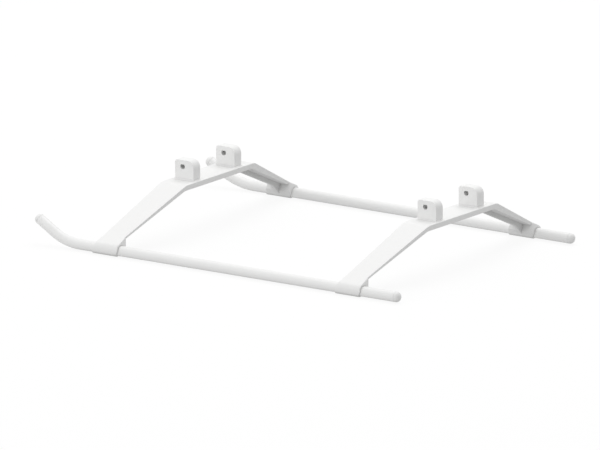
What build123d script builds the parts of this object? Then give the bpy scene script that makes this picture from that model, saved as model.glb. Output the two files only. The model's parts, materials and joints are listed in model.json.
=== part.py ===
from build123d import *
from math import asin, atan2, cos, degrees, hypot, radians, sin, tan
import os

# Landing skid set of a small model helicopter.
#
# Two moulded cross struts carry two bent skid tubes, and each tube end is closed by a push-in cap.
# Frame: +X to the tail, +Y to the helicopter's right, +Z up. The set stands on Z = 0 on the undersides
# of its four saddles, and X = 0 and Y = 0 are the middle of its overall length and width.
# All sizes are in millimetres, and all angles in degrees.

# Skid tubes
TUBE_OD = 5.0
TUBE_WALL = 0.5
TRACK = 142.0            # between the axes of the two tubes
NOSE_STRAIGHT = 9.15     # straight tube between the front saddle and the start of the bend
BEND_RADIUS = 31.5       # on the tube's axis
BEND_ANGLE = 29.0        # how far the front end turns up
BEND_TILT = 9.0          # how far the bend leans inboard
TIP_LENGTH = 12.1        # from the end of the bend to the apex of the front cap
TAIL_LENGTH = 21.1       # from the rear saddle to the apex of the rear cap

# End caps
CAP_HEAD = 2.4           # the part that shows
CAP_ROUND = 2.2          # rounding of the blunt end
SPIGOT_LENGTH = 5.0      # the part pushed into the tube
SPIGOT_LEAD = 0.3        # lead-in chamfer
SEAM_CHAMFER = 0.15      # on both sides of the joint between tube and cap
SEAM_GAP = 0.05

# Cross struts
STRUT_PITCH = 139.3      # front strut to rear strut
BRIDGE_HEIGHT = 24.1     # top of the bridge over the tube axes
BRIDGE_WIDTH = 14.6      # fore and aft
KNEE_SPAN = 55.6         # between the two knees
KNEE_RADIUS = 2.3        # under the web; the strap's bends are concentric with it
REAR_LEAN = 22.7         # forward lean of the strut's rear face, from the vertical
FRONT_LEAN = 15.0        # forward lean of its front face
STRAP_THICK = 3.1        # on the bridge and at the knees
FOOT_THICK = 1.3         # where the leg runs onto its saddle
EDGE_ROUND = 0.3
WEB_THICK = 1.6          # stiffening web under the strap
WEB_DEPTH = 2.1          # below the strap
WEB_FORWARD = 1.0        # of the strap's middle
WEB_FLARE = 6.0          # last stretch of the web, which deepens towards the saddle
FLARE_RADIUS = 8.0

# Saddles
SADDLE_LENGTH = 14.25    # on the tube axis
SADDLE_UNDERCUT = 31.0   # forward lean of the rear end below the tube axis
SADDLE_SETBACK = 0.995   # of the strap's middle
SADDLE_WALL = 0.4        # under the tube
SADDLE_CROWN = 1.2       # over the tube
SADDLE_CHEEK = 1.7       # inboard of the tube

# Lugs on the bridge
LUG_SPACING = 33.5       # between the middles of a strut's two lugs
LUG_LENGTH = 10.9        # fore and aft
LUG_THICK = 5.6
LUG_HEIGHT = 9.6
LUG_FRONT_ROUND = 1.6
LUG_REAR_ROUND = 3.6
LUG_EDGE_ROUND = 0.4
LUG_BASE_ROUND = 0.5
LUG_HOLE = 2.6           # free clearance for an M2 screw
LUG_HOLE_HEIGHT = 6.4    # above the bridge
LUG_HOLE_FORWARD = 0.95  # of the lug's middle

# Fits, measured on the radius
TUBE_CLEARANCE = 0.05
SPIGOT_CLEARANCE = 0.05

# How near to a plane an edge counts as lying on it
TOUCH = 0.01

# Worked out from the driving sizes
tube_radius = TUBE_OD / 2
tube_bore = tube_radius - TUBE_WALL
saddle_bore = tube_radius + TUBE_CLEARANCE
saddle_radius = saddle_bore + (SADDLE_WALL + SADDLE_CROWN) / 2
saddle_lift = (SADDLE_CROWN - SADDLE_WALL) / 2
axis_z = saddle_bore + SADDLE_WALL
tube_y = TRACK / 2
knee_y = KNEE_SPAN / 2
bridge_z = axis_z + BRIDGE_HEIGHT
cheek_reach = saddle_bore + SADDLE_CHEEK

# The top of each leg is a plane from the knee, tangent to the round of the saddle.
leg_run = tube_y - knee_y
leg_drop = BRIDGE_HEIGHT - saddle_lift
leg_slope = atan2(leg_drop, leg_run) - asin(saddle_radius / hypot(leg_run, leg_drop))
foot_y = tube_y + saddle_radius * sin(leg_slope)
foot_z = axis_z + saddle_lift + saddle_radius * cos(leg_slope)
cheek_z = foot_z + (foot_y - tube_y + cheek_reach) * tan(leg_slope)
cheek_top = cheek_z - FOOT_THICK / 4

# Fore and aft places, measured from the middle of a strut's bridge. The web leans between the two faces,
# and the front end of the saddle runs up to the front edge of the leg.
rear_slope = tan(radians(REAR_LEAN))
front_slope = tan(radians(FRONT_LEAN))
middle_slope = (rear_slope + front_slope) / 2
saddle_x = SADDLE_SETBACK - BRIDGE_HEIGHT * middle_slope
saddle_front = saddle_x - SADDLE_LENGTH / 2
saddle_rear = saddle_x + SADDLE_LENGTH / 2
cheek_front = -BRIDGE_WIDTH / 2 - (bridge_z - cheek_z) * front_slope
saddle_front_slope = (cheek_front - saddle_front) / (cheek_z - axis_z)
saddle_undercut = axis_z * tan(radians(SADDLE_UNDERCUT))

# Places along the tube, measured from the middle of the front strut's bridge
bend = radians(BEND_ANGLE)
bend_setback = BEND_RADIUS * tan(bend / 2)
bend_corner = saddle_front - NOSE_STRAIGHT - bend_setback
tip_run = bend_setback + TIP_LENGTH
tip_edge = CAP_ROUND + (tube_radius - CAP_ROUND) * sin(bend) - CAP_ROUND * cos(bend)
front_limit = bend_corner - tip_run * cos(bend) - tip_edge
rear_limit = STRUT_PITCH + saddle_rear + TAIL_LENGTH
front_x = -(front_limit + rear_limit) / 2
rear_x = front_x + STRUT_PITCH


def knee_point(depth):
    """Where the bridge and a leg meet, at a depth below the top of the strap."""
    return knee_y - depth * tan(leg_slope / 2), bridge_z - depth


def leg_point(depth):
    """The lower end of a leg, at a depth below the top of the strap."""
    return foot_y - depth * sin(leg_slope), foot_z - depth * cos(leg_slope)


def across(points, radii):
    """A rounded line in the YZ plane from one foot to the other, from its right-hand half."""
    right = list(points)
    left = [(-y, z) for y, z in reversed(right)]
    return FilletPolyline(*left, *right, radius=[*reversed(radii), *radii])


def strip(upper, lower):
    """The face between two lines from foot to foot."""
    ends = [Line(upper @ 0, lower @ 0), Line(upper @ 1, lower @ 1)]
    return Plane.YZ * make_face(upper.edges() + lower.edges() + ends[0].edges() + ends[1].edges())


def across_space(*outline):
    """The space inside an outline in the XZ plane, from one side of the strut to the other."""
    return extrude(Plane.XZ * Polygon(*outline, align=None), amount=TRACK, both=True)


def leaning_space(level, front, rear, front_lean, rear_lean):
    """The space between two leaning planes, which cross a level at front and rear."""
    low = -level
    high = bridge_z + STRAP_THICK - level
    return across_space(
        (front + low * front_lean, level + low), (rear + low * rear_lean, level + low),
        (rear + high * rear_lean, level + high), (front + high * front_lean, level + high))


def bent_strip(upper, lower):
    """The strip between two lines from foot to foot, wider than any strut."""
    return extrude(strip(upper, lower), amount=BRIDGE_WIDTH + BRIDGE_HEIGHT, both=True)


def make_strap():
    """The bent strap: constant on the bridge, thinning down the legs, with rounded edges."""
    half = BRIDGE_WIDTH / 2
    concentric = KNEE_RADIUS + WEB_DEPTH
    top = across([knee_point(0), leg_point(0)], [concentric + STRAP_THICK])
    under = across([knee_point(STRAP_THICK), leg_point(FOOT_THICK)], [concentric])
    strap = bent_strip(top, under) & leaning_space(bridge_z, -half, half, front_slope, rear_slope)
    rims = [e for e in strap.edges()
            if abs(abs(e.center().Y) - foot_y) > FOOT_THICK and abs(e.tangent_at(0.5).X) < 0.9]
    return fillet(rims, EDGE_ROUND)


def make_web():
    """The stiffening web under the strap, which deepens where it runs into the saddles."""
    top = across([knee_point(STRAP_THICK / 2), leg_point(FOOT_THICK / 2)],
                 [KNEE_RADIUS + WEB_DEPTH + STRAP_THICK / 2])
    knee = knee_point(STRAP_THICK + WEB_DEPTH)
    leg = leg_point(FOOT_THICK + WEB_DEPTH)
    wall_y = tube_y - cheek_reach
    flare_y = wall_y - WEB_FLARE
    flare_z = knee[1] + (leg[1] - knee[1]) * (flare_y - knee[0]) / (leg[0] - knee[0])
    inside_y = wall_y + SADDLE_CHEEK / 2
    inside_z = axis_z - (flare_z - axis_z) * (inside_y - wall_y) / WEB_FLARE
    lower = across([knee, (flare_y, flare_z), (inside_y, inside_z)], [KNEE_RADIUS, FLARE_RADIUS])
    front = -WEB_FORWARD - WEB_THICK / 2
    return bent_strip(top, lower) & leaning_space(bridge_z, front, front + WEB_THICK, front_slope, front_slope)


def make_saddle(side):
    """A sleeve round the tube, filled inboard up into the leg, with a leaning front and an undercut rear."""
    ring = Pos(0, saddle_lift) * Circle(saddle_radius)
    wall = Line((-side * cheek_reach, saddle_lift), (-side * cheek_reach, cheek_top - axis_z))
    section = make_hull(ring.edges() + wall.edges())
    body = extrude(Plane.YZ * section, amount=2 * SADDLE_LENGTH, both=True)
    body = Pos(saddle_x, side * tube_y, axis_z) * body
    return body & across_space(
        (saddle_front - axis_z * saddle_front_slope, 0), (saddle_rear - saddle_undercut, 0),
        (saddle_rear, axis_z), (saddle_rear, cheek_z), (cheek_front, cheek_z))


def make_lug():
    """An upright block with rounded top corners, standing on the middle of the bridge."""
    half = LUG_LENGTH / 2
    root = STRAP_THICK / 2
    side_view = Polygon((-half, -root), (half, -root), (half, LUG_HEIGHT), (-half, LUG_HEIGHT), align=None)
    for x, rounding in ((-half, LUG_FRONT_ROUND), (half, LUG_REAR_ROUND)):
        corner = side_view.vertices().sort_by_distance((x, LUG_HEIGHT))[0]
        side_view = fillet(corner, rounding)
    block = extrude(Plane.XZ * side_view, amount=LUG_THICK / 2, both=True)
    rims = [e for e in block.edges()
            if abs(abs(e.center().Y) - LUG_THICK / 2) < TOUCH and e.center().Z > TOUCH - root]
    return fillet(rims, LUG_EDGE_ROUND)


def make_strut():
    """One moulding: strap, web, two saddles and two lugs, with its bores cut last."""
    strut = make_strap() + make_web() + make_saddle(-1) + make_saddle(1)
    for side in (-1, 1):
        strut += Pos(0, side * LUG_SPACING / 2, bridge_z) * make_lug()
    reach_x, reach_y = LUG_LENGTH / 2 + TOUCH, LUG_THICK / 2 + TOUCH
    base = [e for e in strut.edges() if all(
        abs(p.Z - bridge_z) < TOUCH and abs(abs(p.Y) - LUG_SPACING / 2) < reach_y and abs(p.X) < reach_x
        for p in (e @ 0, e @ 0.5, e @ 1))]
    strut = fillet(base, LUG_BASE_ROUND)
    bore = Cylinder(saddle_bore, 3 * SADDLE_LENGTH, rotation=(0, 90, 0))
    for side in (-1, 1):
        strut -= Pos(saddle_x, side * tube_y, axis_z) * bore
    hole = Cylinder(LUG_HOLE / 2, LUG_SPACING + 2 * LUG_THICK, rotation=(90, 0, 0))
    return strut - Pos(-LUG_HOLE_FORWARD, 0, bridge_z + LUG_HOLE_HEIGHT) * hole


def make_tube():
    """A thin-walled tube along the X axis, straight to the tail and turned up at the nose."""
    reach = tip_run - CAP_HEAD - SEAM_GAP
    tail = (rear_limit - CAP_HEAD - SEAM_GAP, 0)
    tip = (bend_corner - reach * cos(bend), reach * sin(bend))
    path = Plane.XZ * FilletPolyline(tail, (bend_corner, 0), tip, radius=BEND_RADIUS)
    ring = Circle(tube_radius) - Circle(tube_bore)
    tube = sweep(Plane(origin=path @ 0, z_dir=path % 0) * ring, path=path)
    rims = [f.outer_wire().edges() for f in tube.faces().filter_by(GeomType.PLANE)]
    return chamfer(rims[0] + rims[1], SEAM_CHAMFER)


def make_cap():
    """A push-in cap: a blunt rounded head and a spigot, along +X, with the head's seat at X = 0."""
    spigot = tube_bore - SPIGOT_CLEARANCE
    outline = Polyline(
        (-SPIGOT_LENGTH, 0), (-SPIGOT_LENGTH, spigot - SPIGOT_LEAD), (SPIGOT_LEAD - SPIGOT_LENGTH, spigot),
        (0, spigot), (0, tube_radius - SEAM_CHAMFER), (SEAM_CHAMFER, tube_radius),
        (CAP_HEAD, tube_radius), (CAP_HEAD, 0), close=True)
    section = make_face(outline.edges())
    corner = section.vertices().sort_by_distance((CAP_HEAD, tube_radius))[0]
    return revolve(fillet(corner, CAP_ROUND), Axis.X)


strut = make_strut()
cap = make_cap()
nose_seat = tip_run - CAP_HEAD
skid = {
    "skid_tube": make_tube(),
    "front_cap": Pos(bend_corner - nose_seat * cos(bend), 0, nose_seat * sin(bend))
    * Rot(0, 180 + BEND_ANGLE, 0) * cap,
    "rear_cap": Pos(X=rear_limit - CAP_HEAD) * cap,
}

nodes = {"front_strut": Pos(X=front_x) * strut, "rear_strut": Pos(X=rear_x) * strut}
for side_name, side in (("left", -1), ("right", 1)):
    place = Pos(front_x, side * tube_y, axis_z) * Rot(X=side * BEND_TILT)
    for piece_name, piece in skid.items():
        nodes[side_name + "_" + piece_name] = place * piece

os.makedirs("parts", exist_ok=True)
for name, shape in nodes.items():
    export_step(shape, os.path.join("parts", name + ".step"))
print("leg slope", round(degrees(leg_slope), 2), "front strut x", round(front_x, 3),
      "saddle x", round(saddle_x, 3), "axis z", round(axis_z, 3))
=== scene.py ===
# %% [markdown]
# A landing skid set for a small model helicopter, in satin white. Two moulded struts arch from side to
# side and hold two thin tubes, whose front ends turn up and whose open ends are closed by push-in caps.
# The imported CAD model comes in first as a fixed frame: every piece made below is put where its CAD piece
# is and rides on the same body, so that the set can be posed. Lengths in this file are metres.

# %% Load the frame
import json
from math import asin, atan2, cos, hypot, radians, sin, tan
import bmesh
import bpy
import numpy as np
from mathutils import Matrix, Vector


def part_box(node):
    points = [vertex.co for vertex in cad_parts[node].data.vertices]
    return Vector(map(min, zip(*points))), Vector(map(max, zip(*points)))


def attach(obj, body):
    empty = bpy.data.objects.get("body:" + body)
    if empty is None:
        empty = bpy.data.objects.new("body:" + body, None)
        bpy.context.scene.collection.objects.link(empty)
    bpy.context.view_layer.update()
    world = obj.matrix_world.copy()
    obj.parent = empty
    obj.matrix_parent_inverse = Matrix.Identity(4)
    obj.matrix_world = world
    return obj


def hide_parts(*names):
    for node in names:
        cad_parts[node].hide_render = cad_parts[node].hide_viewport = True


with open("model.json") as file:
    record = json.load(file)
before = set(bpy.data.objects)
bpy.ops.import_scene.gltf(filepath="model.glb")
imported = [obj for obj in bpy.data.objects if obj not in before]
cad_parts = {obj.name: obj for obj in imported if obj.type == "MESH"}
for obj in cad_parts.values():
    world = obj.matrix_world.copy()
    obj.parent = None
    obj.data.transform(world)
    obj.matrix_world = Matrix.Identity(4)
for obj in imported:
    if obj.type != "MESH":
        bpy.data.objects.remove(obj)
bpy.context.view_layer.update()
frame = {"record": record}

# %% [markdown]
# Two helpers serve every new piece. A surface is worked out as a grid of points, and grid_mesh turns one
# or more grids into quads. Where a row shrinks to one point, as at the tip of a cap, the doubled points
# are merged, so that the pole is closed. The volume inside tells whether the faces point outwards: if it
# is negative, all of them are turned. Then stand_for shows the mesh in place of its CAD piece, on the
# same body and with the material it is given.

# %% Grids of points to a closed mesh
MERGE_DISTANCE = 1e-7


def grid_mesh(name, *grids):
    """A mesh of the quads between neighbouring points of closed grids, with their faces turned outwards.

    Every row is joined round. A grid that starts and ends on a single point is closed by these two poles,
    and any other joins its last row to its first. Volume = the sum of a . (b x c) / 6 over the triangles
    a, b, c of the faces.
    """
    points, quads, start = [], [], 0
    for grid in grids:
        index = np.arange(grid[..., 0].size).reshape(grid.shape[:2])
        down = np.roll(index, -1, axis=0)
        quad_corners = (index, np.roll(index, -1, axis=1), np.roll(down, -1, axis=1), down)
        faces = np.stack(quad_corners, axis=-1)
        if np.ptp(grid[0], axis=0).max() < MERGE_DISTANCE:
            faces = faces[:-1]
        faces, flat = faces.reshape(-1, 4), grid.reshape(-1, 3)
        a, b, c, d = (flat[faces[:, corner]] for corner in range(4))
        volume = np.sum(a * np.cross(b, c) + a * np.cross(c, d)) / 6
        quads.append(start + (faces if volume > 0 else faces[:, ::-1]))
        points.append(flat)
        start += len(flat)
    mesh = bpy.data.meshes.new(name)
    mesh.from_pydata(np.concatenate(points).tolist(), [], np.concatenate(quads).tolist())
    shape = bmesh.new()
    shape.from_mesh(mesh)
    bmesh.ops.remove_doubles(shape, verts=shape.verts, dist=MERGE_DISTANCE)
    bmesh.ops.dissolve_degenerate(shape, edges=shape.edges, dist=MERGE_DISTANCE)
    shape.to_mesh(mesh)
    shape.free()
    return mesh


# %% Put a piece in place of its CAD node
BODIES = frame["record"]["behaviour"]["bodies"]
BODY_OF = {node: body for body, nodes in BODIES.items() for node in nodes}
SMOOTH_UNDER = radians(40)


def stand_for(node, mesh, material):
    """Shows a mesh instead of a CAD node: same body, the given material, smooth but for its sharp edges."""
    mesh.polygons.foreach_set("use_smooth", np.ones(len(mesh.polygons), dtype=bool))
    mesh.set_sharp_from_angle(angle=SMOOTH_UNDER)
    mesh.materials.clear()
    mesh.materials.append(material)
    piece = bpy.data.objects.new(node + "_finished", mesh)
    bpy.context.scene.collection.objects.link(piece)
    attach(piece, BODY_OF[node])
    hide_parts(node)
    print(piece.name, "has", len(mesh.polygons), "faces")
    return piece


# %% [markdown]
# The finishes come before the pieces. All of the set is white, but it isn't all the same white thing: the
# struts and caps are moulded, with the fine dull grain of the mould's steel, and the tubes are sprayed,
# with the soft waviness of paint. What they share is made once as node groups: grain, handling marks,
# painted shade in hollows and at joints, and the scuffs of landing. Each group gives out only masks and
# heights. The shader that uses them stays in each material. A few helpers keep the node trees short.

# %% Helpers that make nodes
def new_node(tree, kind, **values):
    """A node of one kind, with its settings and the values of its inputs given by name."""
    node = tree.nodes.new(kind)
    for name, value in values.items():
        if name in node.inputs:
            node.inputs[name].default_value = value
        else:
            setattr(node, name, value)
    return node


def new_group(name, inputs, outputs):
    """An empty node group with named float inputs and outputs, and its two end nodes."""
    tree = bpy.data.node_groups.new(name, "ShaderNodeTree")
    for label, value in inputs.items():
        socket = tree.interface.new_socket(label, in_out="INPUT", socket_type="NodeSocketFloat")
        socket.default_value = value
    for label in outputs:
        tree.interface.new_socket(label, in_out="OUTPUT", socket_type="NodeSocketFloat")
    return tree, tree.nodes.new("NodeGroupInput"), tree.nodes.new("NodeGroupOutput")


# %% Helpers that join nodes
def feed(tree, socket, value):
    """Links an output to an input, or sets the input if the value is a number or a colour."""
    if isinstance(value, bpy.types.NodeSocket):
        tree.links.new(value, socket)
    else:
        socket.default_value = value


def calculated(tree, operation, *values):
    """The output of a Math node."""
    node = new_node(tree, "ShaderNodeMath", operation=operation)
    for socket, value in zip(node.inputs, values):
        feed(tree, socket, value)
    return node.outputs[0]


def smooth_step(tree, value, low, high):
    """The output of a smooth step that is 0 where a value is low and 1 where it is high."""
    step = new_node(tree, "ShaderNodeMapRange", interpolation_type="SMOOTHSTEP")
    feed(tree, step.inputs["Value"], value)
    feed(tree, step.inputs["From Min"], low)
    feed(tree, step.inputs["From Max"], high)
    return step.outputs["Result"]


def noise(tree, place, scale, **settings):
    """The output of a noise at a place. The larger the scale, the finer it is."""
    node = new_node(tree, "ShaderNodeTexNoise", **settings)
    feed(tree, node.inputs["Vector"], place)
    feed(tree, node.inputs["Scale"], scale)
    return node.outputs["Fac"]


# %% [markdown]
# Grain: a mould is spark-eroded or blasted, so its plastic has a dull, even, very fine roughness, far
# below a millimetre. Two noises of different size, one over the other, keep it from looking like a regular
# pattern.

# %% Grain group
FINE_RATIO = 3.7


def make_grain():
    """Height = coarse noise plus a share of a noise FINE_RATIO times finer, on Object coordinates."""
    tree, given, result = new_group("fine grain", {"Scale": 1500.0, "Fine Share": 0.4}, ["Height"])
    place = new_node(tree, "ShaderNodeTexCoord").outputs["Object"]
    coarse_scale = given.outputs["Scale"]
    fine_scale = calculated(tree, "MULTIPLY", coarse_scale, FINE_RATIO)
    coarse = noise(tree, place, coarse_scale, Detail=3.0, Roughness=0.55)
    fine = noise(tree, place, fine_scale, Detail=2.0, Roughness=0.6)
    height = calculated(tree, "MULTIPLY_ADD", fine, given.outputs["Fine Share"], coarse)
    tree.links.new(height, result.inputs["Height"])
    return tree


grain = make_grain()
print("group:", grain.name)

# %% [markdown]
# Handling: fingers leave faint cloudy patches that are a little shinier than the rest. They show only where
# light grazes the surface, so the mask goes to roughness and not to colour.

# %% Handling group
TOUCHED_FROM, TOUCHED_TO = 0.48, 0.72


def make_handling():
    """Mask = Amount times a large soft noise, cut so that only its higher spots are left."""
    tree, given, result = new_group("handling", {"Scale": 45.0, "Amount": 1.0}, ["Mask"])
    place = new_node(tree, "ShaderNodeTexCoord").outputs["Object"]
    cloud = noise(tree, place, given.outputs["Scale"], Detail=4.0, Roughness=0.62, Distortion=0.4)
    touched = smooth_step(tree, cloud, TOUCHED_FROM, TOUCHED_TO)
    mask = calculated(tree, "MULTIPLY", touched, given.outputs["Amount"])
    tree.links.new(mask, result.inputs["Mask"])
    return tree


handling = make_handling()
print("group:", handling.name)

# %% [markdown]
# Scuffs: a skid set lands on its undersides, so only the lowest part of each piece gets fine streaks, drawn
# along the direction of travel. Height above the ground comes from Z, because every piece keeps the frame's
# own coordinates.

# %% Scuff group
STREAKS_PER_METRE = (90.0, 1600.0, 1600.0)
STREAK_FROM, STREAK_TO = 0.45, 0.70


def make_scuff():
    """Mask = Amount times (1 at the ground, 0 at Reach) times noise streaks that are stretched along X."""
    tree, given, result = new_group("landing scuff", {"Reach": 0.0012, "Amount": 1.0}, ["Mask"])
    place = new_node(tree, "ShaderNodeTexCoord").outputs["Object"]
    split = new_node(tree, "ShaderNodeSeparateXYZ")
    stretch = new_node(tree, "ShaderNodeMapping", Scale=STREAKS_PER_METRE)
    tree.links.new(place, split.inputs[0])
    tree.links.new(place, stretch.inputs["Vector"])
    low = smooth_step(tree, split.outputs["Z"], given.outputs["Reach"], 0.0)
    lines = noise(tree, stretch.outputs["Vector"], 1.0, Detail=3.0, Roughness=0.7)
    streaks = smooth_step(tree, lines, STREAK_FROM, STREAK_TO)
    low_streaks = calculated(tree, "MULTIPLY", low, streaks)
    mask = calculated(tree, "MULTIPLY", low_streaks, given.outputs["Amount"])
    tree.links.new(mask, result.inputs["Mask"])
    return tree


scuff = make_scuff()
print("group:", scuff.name)

# %% [markdown]
# Painted shade: the undersides, the holes and the joints are greyed in the colour, as shade would fall
# there, and made dull. An Ambient Occlusion node tells how closed in a point is: it sends rays round within
# a distance and gives 1 in the open and 0 in a crack. Given the direction up in place of the surface's own,
# it tells instead how much sky the point sees. What sees no sky gets the painted shade, a little more of it
# in the corners than on the open undersides. At the joints, where two pieces meet, and where a piece stands
# on the floor, a much shorter distance draws a thin grey line of painted shade.

# %% Painted shade groups
UP = (0.0, 0.0, 1.0)
SHADE_RAYS = 8


def closed_in(tree, distance, open_below, closed_above, own_piece, direction=None):
    """A smooth step over the share of rays that hit something within a distance.

    It is 0 up to the share open_below and 1 from closed_above on. With open_below under 0, a part of the
    step is left where no ray hits. The rays look out from the surface, or in a given direction.
    """
    rays = new_node(tree, "ShaderNodeAmbientOcclusion", samples=SHADE_RAYS, only_local=own_piece,
                    Distance=distance)
    if direction:
        fixed = new_node(tree, "ShaderNodeCombineXYZ", **dict(zip("XYZ", direction)))
        tree.links.new(fixed.outputs[0], rays.inputs["Normal"])
    return smooth_step(tree, rays.outputs["AO"], 1.0 - open_below, 1.0 - closed_above)


def make_painted_shade(name, *shares):
    """Mask = Amount times the product of the shares, each given as the arguments of closed_in."""
    tree, given, result = new_group(name, {"Amount": 1.0}, ["Mask"])
    mask = given.outputs["Amount"]
    for share in shares:
        mask = calculated(tree, "MULTIPLY", mask, closed_in(tree, **share))
    tree.links.new(mask, result.inputs["Mask"])
    return tree


in_corner = {"distance": 0.012, "open_below": -0.25, "closed_above": 0.10, "own_piece": True}
no_sky = {"distance": 0.020, "open_below": 0.75, "closed_above": 0.95, "own_piece": True, "direction": UP}
at_joint = {"distance": 0.0020, "open_below": 0.08, "closed_above": 0.60, "own_piece": False}
# Painted shade: greys and dulls what is closed in and sees no sky, under the strap, in holes and corners.
painted_hollow_shade = make_painted_shade("dust in hollows", in_corner, no_sky)
# Painted shade: a thin grey line where pieces meet each other or stand on the floor.
painted_joint_shade = make_painted_shade("dust in joints", at_joint)
print("groups:", painted_hollow_shade.name, "and", painted_joint_shade.name)

# %% [markdown]
# One function makes all three white finishes. Colour: clean white, a touch greyer where scuffed, and
# greyer still with painted shade in hollows and joints. Roughness: satin, shinier where handled and duller
# where scuffed and where the shade is painted. Relief: the grain, as a bump of a few hundredths of a
# millimetre.

# %% White finishes
PLASTIC_IOR = 1.49
# SCUFFED is the grey of landing scuffs; the second grey is the painted shade mixed in at hollows and
# joints.
SCUFFED, PAINTED_SHADE = (0.50, 0.50, 0.495, 1.0), (0.36, 0.36, 0.355, 1.0)
TINT = {scuff: SCUFFED, painted_hollow_shade: PAINTED_SHADE, painted_joint_shade: PAINTED_SHADE}
ROUGHER = {handling: -0.10, scuff: 0.25, painted_hollow_shade: 0.90, painted_joint_shade: 0.25}


def mixed_colour(tree, first, second, mask):
    """The output of a colour mix; the first colour may be a value or the output of another mix."""
    mix = new_node(tree, "ShaderNodeMix", data_type="RGBA")
    clear, covered = (socket for socket in mix.inputs if socket.type == "RGBA")
    feed(tree, clear, first)
    feed(tree, covered, second)
    tree.links.new(mask, mix.inputs["Factor"])
    return next(socket for socket in mix.outputs if socket.type == "RGBA")


def make_white(name, clean, roughness, grain_scale, grain_depth, amounts):
    """A satin white with grain as bump.

    Each mask mixes its tint, if it has one, into the colour. Times a factor it is added to the roughness.
    """
    material = bpy.data.materials.new(name)
    material.use_nodes = True
    tree = material.node_tree
    shader = tree.nodes["Principled BSDF"]
    shader.inputs["IOR"].default_value = PLASTIC_IOR
    texture = new_node(tree, "ShaderNodeGroup", node_tree=grain)
    texture.inputs["Scale"].default_value = grain_scale
    relief = new_node(tree, "ShaderNodeBump", Strength=1.0, Distance=grain_depth)
    tree.links.new(texture.outputs["Height"], relief.inputs["Height"])
    tree.links.new(relief.outputs["Normal"], shader.inputs["Normal"])
    colour = clean
    for group, amount in amounts.items():
        mark = new_node(tree, "ShaderNodeGroup", node_tree=group)
        mark.inputs["Amount"].default_value = amount
        mask = mark.outputs["Mask"]
        roughness = calculated(tree, "MULTIPLY_ADD", mask, ROUGHER[group], roughness)
        if group in TINT:
            colour = mixed_colour(tree, colour, TINT[group], mask)
    tree.links.new(colour, shader.inputs["Base Color"])
    tree.links.new(roughness, shader.inputs["Roughness"])
    print("finish:", name)
    return material


# The amounts of the hollow and joint masks set how much shade is painted on each finish.
strut_white = make_white(
    "moulded strut white", (0.86, 0.86, 0.855, 1.0),
    roughness=0.46, grain_scale=2200.0, grain_depth=0.00003,
    amounts={handling: 0.8, scuff: 0.5, painted_hollow_shade: 0.44, painted_joint_shade: 0.25})
tube_white = make_white(
    "sprayed tube white", (0.86, 0.86, 0.855, 1.0),
    roughness=0.36, grain_scale=700.0, grain_depth=0.00002,
    amounts={handling: 1.0, scuff: 0.7, painted_joint_shade: 0.3})
cap_white = make_white(
    "moulded cap white", (0.84, 0.84, 0.835, 1.0),
    roughness=0.44, grain_scale=2000.0, grain_depth=0.00003,
    amounts={handling: 0.8, scuff: 0.6, painted_joint_shade: 0.25})

# %% [markdown]
# The tube. The real one is thin-walled stock, cut to length, with its outer edges broken, and bent at the
# front. A bevelled curve could stand in, but it would be solid or open: here the wall itself is the
# profile. Points go down the outside, over the rounded edge, across the cut end and back along the bore,
# and each of them is swung once round the tube's line.

# %% Sizes of the skids
TUBE_RADIUS, BORE_RADIUS = 0.0025, 0.0020
TUBE_Y, TUBE_Z = 0.0710, 0.00295
BEND_RADIUS, BEND_ANGLE, BEND_TILT = 0.0315, radians(29.0), radians(9.0)
BEND_LENGTH = BEND_RADIUS * BEND_ANGLE
REAR_SEAM, FRONT_SEAM, SEAM_GAP = 0.00008, 0.00003, 0.00005
CAP_HEAD, CAP_ROUND = 0.0024, 0.0022
REAR_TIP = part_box("left_rear_cap")[1].x
BEND_START = -0.078762
TIP_LENGTH = 0.0121
TAIL_STRAIGHT = REAR_TIP - CAP_HEAD - SEAM_GAP - BEND_START
NOSE_LENGTH = TIP_LENGTH - CAP_HEAD - SEAM_GAP
LINE_LENGTH = TAIL_STRAIGHT + BEND_LENGTH + NOSE_LENGTH
print("straight of the tube in mm:", round(1000 * TAIL_STRAIGHT, 2))
print("length of a tube in mm:", round(1000 * LINE_LENGTH, 1))


# %% The line that a skid follows
def skid_line(along):
    """Point, tangent and upward normal at lengths along the skid, from its tail end to its nose.

    The line runs straight forward, then on a circle of BEND_RADIUS that turns up by BEND_ANGLE, then
    straight. Turn is the angle reached: 0 on the tail, length over radius on the bend, BEND_ANGLE on the
    nose.
    """
    before = np.minimum(along, TAIL_STRAIGHT)
    turn = np.clip(along - TAIL_STRAIGHT, 0.0, BEND_LENGTH) / BEND_RADIUS
    past = np.maximum(along - TAIL_STRAIGHT - BEND_LENGTH, 0.0)
    zero = np.zeros_like(turn)
    x = BEND_START + TAIL_STRAIGHT - before - BEND_RADIUS * np.sin(turn) - past * np.cos(turn)
    z = BEND_RADIUS * (1.0 - np.cos(turn)) + past * np.sin(turn)
    forward = np.stack([-np.cos(turn), zero, np.sin(turn)], axis=-1)
    upward = np.stack([np.sin(turn), zero, np.cos(turn)], axis=-1)
    return np.stack([x, zero, z], axis=-1), forward, upward


def place_skid(points, side):
    """Leans points of a skid inboard about its axis, and moves them to its left (-1) or right (1) place."""
    lean = np.array(Matrix.Rotation(side * BEND_TILT, 3, "X"))
    return points @ lean.T + np.array([0.0, side * TUBE_Y, TUBE_Z])


nose_end = skid_line(np.array([LINE_LENGTH]))[0][0]
print("rise of the nose in mm:", round(1000 * nose_end[2], 1))

# %% The tube's wall swung round its line
AROUND = 72
STRAIGHT_ROWS, BEND_ROWS, EDGE_ROWS = 61, 49, 5


def ring(upward, forward):
    """Directions round a line: cos a * up + sin a * sideways, for AROUND angles a."""
    sideways = np.cross(upward, forward)
    angle = np.linspace(0.0, 2 * np.pi, AROUND, endpoint=False)[:, None]
    return np.cos(angle) * upward[..., None, :] + np.sin(angle) * sideways[..., None, :]


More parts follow.
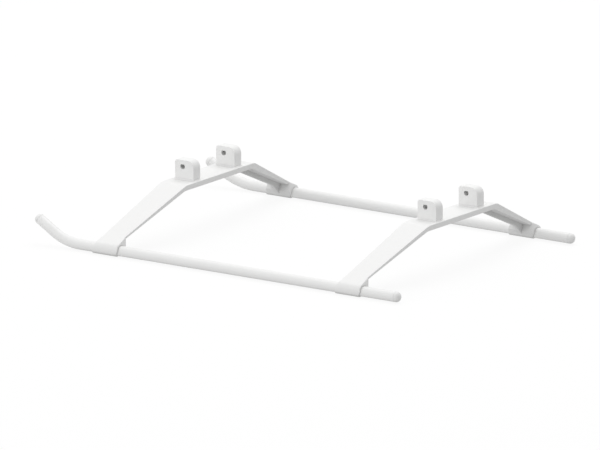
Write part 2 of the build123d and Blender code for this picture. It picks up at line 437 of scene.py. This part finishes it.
def tube_surface(side):
    """Point = line(s) + r * ring(a), for (s, r) round the wall's section and a round the tube.

    The edges of the cut ends are quarter circles: (1 - cos a, 1 - sin a) times their radius.
    """
    straight = np.linspace(0.0, TAIL_STRAIGHT, STRAIGHT_ROWS)
    bend = np.linspace(TAIL_STRAIGHT, TAIL_STRAIGHT + BEND_LENGTH, BEND_ROWS)
    bore = np.concatenate([straight, bend[1:], [LINE_LENGTH]])
    outside = bore[1:-1]
    late = 1.0 - np.cos(np.linspace(0.0, np.pi / 2, EDGE_ROWS))
    early = late[::-1]
    along = np.concatenate([REAR_SEAM * late, outside, LINE_LENGTH - FRONT_SEAM * early, bore[::-1]])
    radius = np.concatenate([TUBE_RADIUS - REAR_SEAM * early, np.full(outside.size, TUBE_RADIUS),
                             TUBE_RADIUS - FRONT_SEAM * late, np.full(bore.size, BORE_RADIUS)])
    point, forward, upward = skid_line(along)
    return place_skid(point[:, None, :] + radius[:, None, None] * ring(upward, forward), side)


SIDES = {"left": -1, "right": 1}
for side_name, side in SIDES.items():
    tube_mesh = grid_mesh(side_name + "_tube", tube_surface(side))
    stand_for(side_name + "_skid_tube", tube_mesh, tube_white)

# %% [markdown]
# The caps. Each is a small turned shape: a rounded head as thick as the tube, nearly a dome, and a spigot
# that hides inside it. Its outline is a row of (distance, radius) pairs swung round the tube's line. Rounds
# on the outline are quarter circles given as arrays, so the head and the fine round at the seam are as
# smooth as wanted.

# %% Outline of a cap
SPIGOT_RADIUS, SPIGOT_LENGTH, SPIGOT_LEAD = 0.00195, 0.0050, 0.0003
HEAD_ROWS = 17


def cap_outline(seam_round):
    """Distances from the seat towards the tip, and radii, from the spigot's end to the tip of the head."""
    head = np.linspace(0.0, np.pi / 2, HEAD_ROWS)
    seam = np.linspace(0.0, np.pi / 2, EDGE_ROWS)
    distance = np.concatenate([
        [-SPIGOT_LENGTH, -SPIGOT_LENGTH, SPIGOT_LEAD - SPIGOT_LENGTH, 0.0],
        seam_round * (1.0 - np.cos(seam)),
        CAP_HEAD - CAP_ROUND + CAP_ROUND * np.sin(head),
        [CAP_HEAD]])
    radius = np.concatenate([
        [0.0, SPIGOT_RADIUS - SPIGOT_LEAD, SPIGOT_RADIUS, SPIGOT_RADIUS],
        TUBE_RADIUS - seam_round * (1.0 - np.sin(seam)),
        TUBE_RADIUS - CAP_ROUND * (1.0 - np.cos(head)),
        [0.0]])
    return distance, radius


print("outline points of a cap:", cap_outline(REAR_SEAM)[0].size)


# %% Caps in both ends of both tubes
def cap_surface(at_nose, side):
    """Point = seat + distance * outward + radius * ring(a); the grid closes on the axis at both ends."""
    end, seam_round = (LINE_LENGTH, FRONT_SEAM) if at_nose else (0.0, REAR_SEAM)
    point, forward, upward = (part[0] for part in skid_line(np.array([end])))
    outward = forward if at_nose else -forward
    distance, radius = (values[:, None, None] for values in cap_outline(seam_round))
    return place_skid(point + (distance + SEAM_GAP) * outward + radius * ring(upward, outward), side)


for side_name, side in SIDES.items():
    for end_name, at_nose in (("front", True), ("rear", False)):
        node = f"{side_name}_{end_name}_cap"
        stand_for(node, grid_mesh(node + "_turned", cap_surface(at_nose, side)), cap_white)

# %% [markdown]
# The struts. The real one is a single moulding: a bent strap, a stiffening web under it, a sleeve for the
# tube at each foot and two drilled lugs. A box model with a Bevel modifier would do for the strap, but not
# for the foot, where the leg rolls round the tube. So each form is a rounded section carried along a line
# that is known exactly, and the forms run into each other as they do in the mould. These are the sizes of
# the CAD part. Where each strut stands comes from the screw holes in the part's record.

# %% Sizes of a strut
BRIDGE_Z, BRIDGE_HALF, KNEE_Y = 0.02705, 0.0073, 0.0278
STRAP_THICK, FOOT_THICK, STRAP_ROUND = 0.0031, 0.0013, 0.00035
WEB_DEPTH, WEB_THICK, WEB_FORWARD, WEB_ROUND = 0.0021, 0.0016, 0.0010, 0.0003
KNEE_RADIUS, FLARE_RADIUS, FLARE_LENGTH = 0.0023, 0.0080, 0.0060
SLEEVE_BORE, SLEEVE_RADIUS, SLEEVE_LIFT = 0.00255, 0.00335, 0.0004
SLEEVE_FRONT, SLEEVE_REAR, SLEEVE_ROUND, MOUTH_ROUND = -0.014399, -0.000149, 0.0003, 0.00010
CHEEK_REACH, CHEEK_ROUND = 0.00425, 0.0008
FRONT_SLOPE, REAR_SLOPE, UNDERCUT = (tan(radians(degrees)) for degrees in (15.0, 22.7, 31.0))
LUG_Y, LUG_HALF, LUG_THICK, LUG_HEIGHT = 0.01675, 0.00545, 0.0056, 0.0096
LUG_FRONT_ROUND, LUG_REAR_ROUND, LUG_EDGE_ROUND, LUG_BASE_ROUND = 0.0016, 0.0036, 0.0004, 0.0005
HOLE_RADIUS, HOLE_HEIGHT, HOLE_FORWARD, HOLE_ROUND = 0.0013, 0.0064, 0.00095, 0.00008
HOLE_X = {mount["name"]: mount["pos_m"][0] for mount in frame["record"]["mounts"]}
STRUT_X = {end + "_strut": HOLE_X[end + "_left_lug"] + HOLE_FORWARD for end in ("front", "rear")}
print("struts at x in mm:", [round(1000 * x, 3) for x in STRUT_X.values()])

# %% [markdown]
# The top of a leg is a plane that just touches the round of its sleeve. Seen along the tubes, from the knee
# to the middle of that round is a slanting line. The leg's slope is the slope of this line less the small
# angle, at the knee, that the round's radius takes up.

# %% The leg's slope, knees and feet
leg_run, leg_drop = TUBE_Y - KNEE_Y, BRIDGE_Z - TUBE_Z - SLEEVE_LIFT
LEG_SLOPE = atan2(leg_drop, leg_run) - asin(SLEEVE_RADIUS / hypot(leg_run, leg_drop))
LEG_NORMAL = np.array([sin(LEG_SLOPE), cos(LEG_SLOPE)])
FOOT = np.array([TUBE_Y, TUBE_Z + SLEEVE_LIFT]) + SLEEVE_RADIUS * LEG_NORMAL
CHEEK_Z = FOOT[1] + (FOOT[0] - TUBE_Y + CHEEK_REACH) * tan(LEG_SLOPE)
print("slope of a leg in degrees:", round(float(np.degrees(LEG_SLOPE)), 2))


def knee(depth):
    """The corner between bridge and leg, on a line at a depth below the top of the strap."""
    return np.array([KNEE_Y - depth * tan(LEG_SLOPE / 2), BRIDGE_Z - depth])


def foot(depth):
    """The end of the leg, on a line at a depth below the top of the strap."""
    return FOOT - depth * LEG_NORMAL


# %% [markdown]
# Lines from foot to foot have round corners. A circle of a radius touches both sides of a corner at the
# distance radius * tan(turn / 2) from it. Only the right half is worked out, because the left half is its
# mirror image.

# %% Lines with round corners
STRAIGHT_STEPS, CORNER_STEPS = 24, 15


def rounded_line(points, radii):
    """Points on straight lines, with a circle in each corner.

    On the circle, point = centre + radius (sin a * before - cos a * inward), for a from 0 to the turn.
    """
    rows, start = [], points[0]
    for corner, radius in enumerate(radii, 1):
        sides = points[corner] - points[corner - 1], points[corner + 1] - points[corner]
        before, after = (side / np.linalg.norm(side) for side in sides)
        turn = atan2(before[0] * after[1] - before[1] * after[0], before @ after)
        inward = np.sign(turn) * np.array([-before[1], before[0]])
        centre = points[corner] - radius * tan(abs(turn) / 2) * before + radius * inward
        angle = np.linspace(0.0, abs(turn), CORNER_STEPS)[:, None]
        arc = centre + radius * (np.sin(angle) * before - np.cos(angle) * inward)
        rows += [np.linspace(start, arc[0], STRAIGHT_STEPS, endpoint=False), arc[:-1]]
        start = arc[-1]
    rows.append(np.linspace(start, points[-1], STRAIGHT_STEPS))
    return np.concatenate(rows)


def across(points, radii):
    """A line from the left foot to the right one."""
    half = rounded_line([np.asarray(p) for p in points], radii)
    return np.concatenate([half[:0:-1] * (-1, 1), half])


# %% [markdown]
# A section is a box with rounded edges, told as a walk round it. For each point it says how far along the
# way from the front end to the rear end it is, how far it is moved from there, whether it belongs to the
# upper or the lower line, and how deep it lies. The same walk serves the strap, the web, the sleeves and
# the lugs.

# %% Rounded section
ROUND_STEPS, FLAT_STEPS = 6, 5


def rounded_section(upper_round, lower_round):
    """Rows share, inset, on_lower and depth of a walk with four rounds and two flats.

    A round is a quarter circle: (1 - cos a, 1 - sin a) times its radius.
    """
    late = 1.0 - np.cos(np.linspace(0.0, np.pi / 2, ROUND_STEPS))
    early = late[::-1]
    inner = np.linspace(0.0, 1.0, FLAT_STEPS)[1:-1]
    stretches = [(1.0, -upper_round * early, 0.0, upper_round * late),
                 (1.0, -lower_round * late, 1.0, lower_round * early),
                 (inner[::-1], 0.0, 1.0, 0.0),
                 (0.0, lower_round * early, 1.0, lower_round * late),
                 (0.0, upper_round * late, 0.0, upper_round * early),
                 (inner, 0.0, 0.0, 0.0)]
    return np.concatenate([np.stack(np.broadcast_arrays(*row)) for row in stretches], axis=1)


print("points round a section:", rounded_section(STRAP_ROUND, STRAP_ROUND).shape[1])


# %% A section carried along two lines
def carry(section, upper, lower, down, up, front, rear):
    """Carries a section along two lines in a plane, between a front and a rear end that may lean.

    Place = upper line + depth * down, or lower line + depth * up.
    Along = front + share * (rear - front) + inset.
    """
    share, inset, on_lower, depth = section[:, None, :]
    on_lower, depth = on_lower[..., None], depth[..., None]
    on_upper_line = upper[:, None] + depth * down[:, None]
    on_lower_line = lower[:, None] + depth * up[:, None]
    place = np.where(on_lower > 0, on_lower_line, on_upper_line)
    return front(place) + share * (rear(place) - front(place)) + inset, place


def leaning(x, level, slope):
    """An end that leans: x at a level, and slope times the height above it."""
    return lambda place: x + slope * (place[..., 1] - level)


# %% [markdown]
# The strap and the web are bars from foot to foot, and they end inside the sleeves. Seen from the side, the
# front and rear edges of the strap lean forward by different angles, so a leg is narrower at its foot than
# at the bridge. The web leans like the front edge. Its lower line drops away to the tube's axis at the
# sleeve, and runs on a little past the sleeve's wall so that no gap is left.

# %% Strap and web
WEB_OVERRUN = 1.14
strap_front = leaning(-BRIDGE_HALF, BRIDGE_Z, FRONT_SLOPE)
strap_rear = leaning(BRIDGE_HALF, BRIDGE_Z, REAR_SLOPE)


def bar(section, upper, lower, front, rear):
    """A section carried from foot to foot, closed by a pole at each end."""
    down = (lower - upper) / np.linalg.norm(lower - upper, axis=1)[:, None]
    along, place = carry(section, upper, lower, down, -down, front, rear)
    grid = np.concatenate([along[..., None], place], axis=-1)
    poles = np.repeat(grid[[0, -1]].mean(axis=1, keepdims=True), grid.shape[1], axis=1)
    return np.concatenate([poles[:1], grid, poles[1:]])


def strap_grid():
    """The strap: its bends are concentric with the web's, and its legs thin towards FOOT_THICK."""
    inner_bend = KNEE_RADIUS + WEB_DEPTH
    upper = across([(0.0, BRIDGE_Z), knee(0.0), foot(0.0)], [inner_bend + STRAP_THICK])
    lower = across([(0.0, BRIDGE_Z - STRAP_THICK), knee(STRAP_THICK), foot(FOOT_THICK)], [inner_bend])
    return bar(rounded_section(STRAP_ROUND, STRAP_ROUND), upper, lower, strap_front, strap_rear)


def web_grid():
    """The web: from the middle of the strap down to a line that flares at the sleeve.

    The upper line has a plain point on its leg, with no round, so that it has as many rows as the lower.
    """
    knee_low, leg_low = knee(STRAP_THICK + WEB_DEPTH), foot(FOOT_THICK + WEB_DEPTH)
    leg = leg_low - knee_low
    wall = TUBE_Y - CHEEK_REACH
    flare = knee_low + leg * (wall - FLARE_LENGTH - knee_low[0]) / leg[0]
    inside = flare + (np.array([wall, TUBE_Z]) - flare) * WEB_OVERRUN
    lower = across([(0.0, knee_low[1]), knee_low, flare, inside], [KNEE_RADIUS, FLARE_RADIUS])
    knee_high, leg_high = knee(STRAP_THICK / 2), foot(FOOT_THICK / 2)
    upper = across([(0.0, knee_high[1]), knee_high, (3 * leg_high + knee_high) / 4, leg_high],
                   [KNEE_RADIUS + WEB_DEPTH + STRAP_THICK / 2, 0.0])
    edges = (-WEB_THICK / 2, WEB_THICK / 2)
    front, rear = (leaning(edge - WEB_FORWARD, BRIDGE_Z, FRONT_SLOPE) for edge in edges)
    return bar(rounded_section(WEB_ROUND, WEB_ROUND), upper, lower, front, rear)


print("rows of the strap and of the web:", len(strap_grid()), len(web_grid()))

# %% [markdown]
# A sleeve and a lug are alike: a rounded outline, a round hole, and two ends. Such an outline is a string
# drawn tight round several discs. In each direction the disc that reaches furthest holds the string, and
# the string leaves it there.

# %% Outline round discs
OUTLINE_STEPS = 120


def outline_round(centres, radii):
    """Points and outward normals of the string: c + r n for the disc with the largest c . n + r.

    The straights between the discs get even steps.
    """
    angle = np.linspace(0.0, 2 * np.pi, OUTLINE_STEPS + 1)
    normal = np.stack([np.sin(angle), np.cos(angle)], axis=1)
    holds = np.argmax(normal @ centres.T + radii, axis=1)
    point = centres[holds] + radii[holds, None] * normal
    run = np.concatenate([[0.0], np.cumsum(np.linalg.norm(np.diff(point, axis=0), axis=1))])
    places = np.union1d(run[:-1], np.linspace(0.0, run[-1], OUTLINE_STEPS, endpoint=False))
    point, normal = (np.stack([np.interp(places, run, part[:, k]) for k in (0, 1)], axis=1)
                     for part in (point, normal))
    return point, normal / np.linalg.norm(normal, axis=1)[:, None]


def drilled(section, centres, radii, hole_radius, front, rear):
    """A body with an outline round discs and a hole at the origin: a section carried between the two."""
    outline, normal = outline_round(np.asarray(centres), np.asarray(radii))
    outward = outline / np.linalg.norm(outline, axis=1)[:, None]
    return carry(section, outline, hole_radius * outward, -normal, outward, front, rear)


# %% [markdown]
# A sleeve holds the tube. On its inner side a cheek fills the corner under the leg, and the top of both is
# the plane of the leg. Seen from the side, the front end leans to meet the front edge of the leg, and the
# rear end is upright above the tube's axis and cut back under it.

# %% Sleeves
CHEEK_SINK = 0.00003


def sleeve_rear(place):
    """The rear end: upright above the tube's axis, and cut back under it."""
    return SLEEVE_REAR + UNDERCUT * np.minimum(place[..., 1], 0.0)


def sleeve_grid(side):
    """A sleeve: one disc round the tube and two small ones at the cheek.

    The upper of these lies CHEEK_SINK under the plane of the leg's top, so the sleeve runs into the leg
    without a step.
    """
    cheek_y, reach = CHEEK_ROUND - CHEEK_REACH, SLEEVE_RADIUS - CHEEK_ROUND - CHEEK_SINK
    cheek_top = SLEEVE_LIFT + (reach - cheek_y * LEG_NORMAL[0]) / LEG_NORMAL[1]
    centres = [(0.0, SLEEVE_LIFT), (cheek_y, SLEEVE_LIFT + CHEEK_ROUND), (cheek_y, cheek_top)]
    radii = [SLEEVE_RADIUS, CHEEK_ROUND, CHEEK_ROUND]
    front_slope = (strap_front(np.array([0.0, CHEEK_Z])) - SLEEVE_FRONT) / (CHEEK_Z - TUBE_Z)
    sleeve_front = leaning(SLEEVE_FRONT, 0.0, front_slope)
    section = rounded_section(SLEEVE_ROUND, MOUTH_ROUND)
    along, place = drilled(section, centres, radii, SLEEVE_BORE, sleeve_front, sleeve_rear)
    return np.stack([along, side * (TUBE_Y + place[..., 0]), TUBE_Z + place[..., 1]], axis=-1)


print("points of a sleeve:", sleeve_grid(1)[..., 0].size)

# %% [markdown]
# A lug takes a screw through its hole, from the side. Its rear top corner is rounder than its front one. A
# small hollow round at its foot, as moulds have, leads the light from the lug's sides over to the bridge.

# %% Lugs
BASE_STEPS, BASE_SINK = 7, 0.6


def lug_grid(side):
    """A lug: two discs make its rounded top corners and two its foot; the hole is the origin."""
    low, high = -STRAP_THICK / 2 - HOLE_HEIGHT, LUG_HEIGHT - HOLE_HEIGHT
    foot_half = LUG_HALF - LUG_EDGE_ROUND
    centres = [(LUG_HALF - LUG_REAR_ROUND + HOLE_FORWARD, high - LUG_REAR_ROUND),
               (LUG_FRONT_ROUND - LUG_HALF + HOLE_FORWARD, high - LUG_FRONT_ROUND),
               (HOLE_FORWARD + foot_half, low), (HOLE_FORWARD - foot_half, low)]
    radii = [LUG_REAR_ROUND, LUG_FRONT_ROUND, LUG_EDGE_ROUND, LUG_EDGE_ROUND]
    ends = (leaning(side * LUG_Y + edge, 0.0, 0.0) for edge in (-LUG_THICK / 2, LUG_THICK / 2))
    along, place = drilled(rounded_section(LUG_EDGE_ROUND, HOLE_ROUND), centres, radii, HOLE_RADIUS, *ends)
    x, z = place[..., 0] - HOLE_FORWARD, place[..., 1] + BRIDGE_Z + HOLE_HEIGHT
    return np.stack([x, along, z], axis=-1)


def lug_base_grid(side):
    """The hollow round at the foot of a lug: out = r (1 - sin a), up = r (1 - cos a), round its plan.

    Its other sides are hidden in lug and strap, BASE_SINK times r deep.
    """
    x, y = LUG_HALF - LUG_EDGE_ROUND, LUG_THICK / 2 - LUG_EDGE_ROUND
    centres = np.array([(x, y), (x, -y), (-x, -y), (-x, y)])
    plan, normal = outline_round(centres, np.full(len(centres), LUG_EDGE_ROUND))
    hollow = 1.0 - np.cos(np.linspace(0.0, np.pi / 2, BASE_STEPS))
    out = LUG_BASE_ROUND * np.concatenate([hollow[::-1], [-BASE_SINK, -BASE_SINK, 1.0]])
    up = LUG_BASE_ROUND * np.concatenate([hollow, [1.0, -BASE_SINK, -BASE_SINK]])
    place = plan[:, None] + out[None, :, None] * normal[:, None]
    height = np.broadcast_to(BRIDGE_Z + up, place.shape[:2])
    return np.stack([place[..., 0], place[..., 1] + side * LUG_Y, height], axis=-1)


print("points of a lug and of its base:", lug_grid(1)[..., 0].size, lug_base_grid(1)[..., 0].size)

# %% [markdown]
# Last, the forms of a strut go into one mesh, twice. A Weighted Normal modifier lets the large flat faces
# set the shading, so that the narrow rounds between them catch the light and the flats stay flat.

# %% Both struts
strut_grids = [strap_grid(), web_grid()]
for side in SIDES.values():
    strut_grids += [sleeve_grid(side), lug_grid(side), lug_base_grid(side)]
for node, x in STRUT_X.items():
    strut_mesh = grid_mesh(node + "_moulded", *[grid + (x, 0.0, 0.0) for grid in strut_grids])
    strut = stand_for(node, strut_mesh, strut_white)
    weighting = strut.modifiers.new("flat faces stay flat", "WEIGHTED_NORMAL")
    weighting.keep_sharp = True

# %% [markdown]
# The camera stands where the photograph was taken from: to the left and behind, a little above. It has no
# perspective, so parallel edges stay parallel and size doesn't change with distance. The scale and the
# point in the middle of the frame were measured from the lug holes and tube ends.

# %% Camera
PHOTO_WIDTH_PX, METRES_PER_PX = 600, 0.0004697
AZIMUTH, ELEVATION = radians(35.12), radians(13.70)
AIM = Vector((-0.055860, 0.0, TUBE_Z))
MIDDLE_RIGHT, MIDDLE_DOWN = 0.04368, 0.00159
CAMERA_DISTANCE = 0.8

right = Vector((cos(AZIMUTH), sin(AZIMUTH), 0.0))
back = Vector((sin(AZIMUTH) * cos(ELEVATION), -cos(AZIMUTH) * cos(ELEVATION), sin(ELEVATION)))
upright = back.cross(right)
middle = AIM + MIDDLE_RIGHT * right - MIDDLE_DOWN * upright
camera = bpy.data.objects.new("camera", bpy.data.cameras.new("camera"))
bpy.context.scene.collection.objects.link(camera)
camera.data.type = "ORTHO"
camera.data.ortho_scale = PHOTO_WIDTH_PX * METRES_PER_PX
camera.location = middle + CAMERA_DISTANCE * back
camera.rotation_euler = back.to_track_quat("Z", "Y").to_euler()
bpy.context.scene.camera = camera
print("width of the view in mm:", round(1000 * camera.data.ortho_scale, 1))

# %% [markdown]
# The floor is a plain white table. To the camera it is white, as in the photograph, with a faint part of
# the set's own shadow left in it. To the light it glows evenly, which stands in for a large lit table: the
# undersides of the tubes and the faces of the lugs are nearly as light as the rest, so much of their light
# came up from below.

# %% Which rays see the backdrop
def seen_share(tree):
    """1 for rays from the camera, straight or by way of a reflection or glass, and 0 for light."""
    ray = new_node(tree, "ShaderNodeLightPath")
    share = ray.outputs["Is Camera Ray"]
    for kind in ("Is Glossy Ray", "Is Transmission Ray"):
        share = calculated(tree, "MAXIMUM", share, ray.outputs[kind])
    return share


# %% Floor
FLOOR_HALF = 3.0
FLOOR_GLOW, SHADED_SHARE = 0.58, 0.12
WHITE, FLOOR_PAINT = (1.0, 1.0, 1.0, 1.0), (0.95, 0.95, 0.95, 1.0)


def make_floor_finish():
    """White for what the camera sees, mixed with some shaded paint, and a glow for the rest."""
    material = bpy.data.materials.new("studio floor")
    material.use_nodes = True
    tree = material.node_tree
    tree.nodes.remove(tree.nodes["Principled BSDF"])
    glow = new_node(tree, "ShaderNodeEmission", Color=WHITE, Strength=FLOOR_GLOW)
    shaded = new_node(tree, "ShaderNodeBsdfDiffuse", Color=FLOOR_PAINT)
    white = new_node(tree, "ShaderNodeEmission", Color=WHITE, Strength=1.0)
    pale = new_node(tree, "ShaderNodeMixShader", Fac=SHADED_SHARE)
    final = new_node(tree, "ShaderNodeMixShader")
    tree.links.new(white.outputs[0], pale.inputs[1])
    tree.links.new(shaded.outputs[0], pale.inputs[2])
    tree.links.new(seen_share(tree), final.inputs[0])
    tree.links.new(glow.outputs[0], final.inputs[1])
    tree.links.new(pale.outputs[0], final.inputs[2])
    tree.links.new(final.outputs[0], tree.nodes["Material Output"].inputs["Surface"])
    return material


corners = FLOOR_HALF * np.array([(-1, -1, 0), (1, -1, 0), (1, 1, 0), (-1, 1, 0)])
floor_mesh = bpy.data.meshes.new("floor")
floor_mesh.from_pydata(corners.tolist(), [], [(0, 1, 2, 3)])
floor_mesh.materials.append(make_floor_finish())
floor = bpy.data.objects.new("floor", floor_mesh)
bpy.context.scene.collection.objects.link(floor)
print("floor:", 2 * FLOOR_HALF, "m square")

# %% [markdown]
# Light comes from all round, as in a white tent. The world gives the even part. It falls off towards the
# tail, because the rear edges of the struts are darker than their sides, and it is plain white where the
# camera or a reflection sees it. One large lamp above, a little to the right, makes the tops lighter than
# the sides, and a second, on the left, lifts the faces that look at the camera.

# %% World
EVEN_LIGHT, REAR_FALL = 0.78, 0.25
world = bpy.data.worlds.new("white tent")
bpy.context.scene.world = world
world.use_nodes = True
tent = world.node_tree
towards = new_node(tent, "ShaderNodeTexCoord")
parts = new_node(tent, "ShaderNodeSeparateXYZ")
lit = new_node(tent, "ShaderNodeMapRange", **{
    "From Min": -1.0, "To Min": EVEN_LIGHT + REAR_FALL, "To Max": EVEN_LIGHT - REAR_FALL})
shown = new_node(tent, "ShaderNodeMapRange", **{"To Max": 1.0})
tent.links.new(towards.outputs["Generated"], parts.inputs[0])
tent.links.new(parts.outputs["X"], lit.inputs["Value"])
tent.links.new(lit.outputs["Result"], shown.inputs["To Min"])
tent.links.new(seen_share(tent), shown.inputs["Value"])
tent.links.new(shown.outputs["Result"], tent.nodes["Background"].inputs["Strength"])
tent.nodes["Background"].inputs["Color"].default_value = WHITE
print("world:", world.name)


# %% Lamps
def add_lamp(name, place, size, watts):
    """A square soft lamp at a place, turned to the middle of the set."""
    lamp = bpy.data.objects.new(name, bpy.data.lights.new(name, "AREA"))
    bpy.context.scene.collection.objects.link(lamp)
    lamp.data.size = size
    lamp.data.energy = watts
    lamp.location = place
    lamp.rotation_euler = (Vector(place) - middle).to_track_quat("Z", "Y").to_euler()
    print("lamp:", name, watts, "W")


add_lamp("key from above", (0.0, 0.5, 1.2), size=1.0, watts=6.0)
add_lamp("left side", (-0.3, -1.1, 0.25), size=0.8, watts=2.3)

# %% [markdown]
# Last, the colour view is set to Standard, so that a colour renders about as it is written.

# %% Colour view
bpy.context.scene.view_settings.view_transform = "Standard"
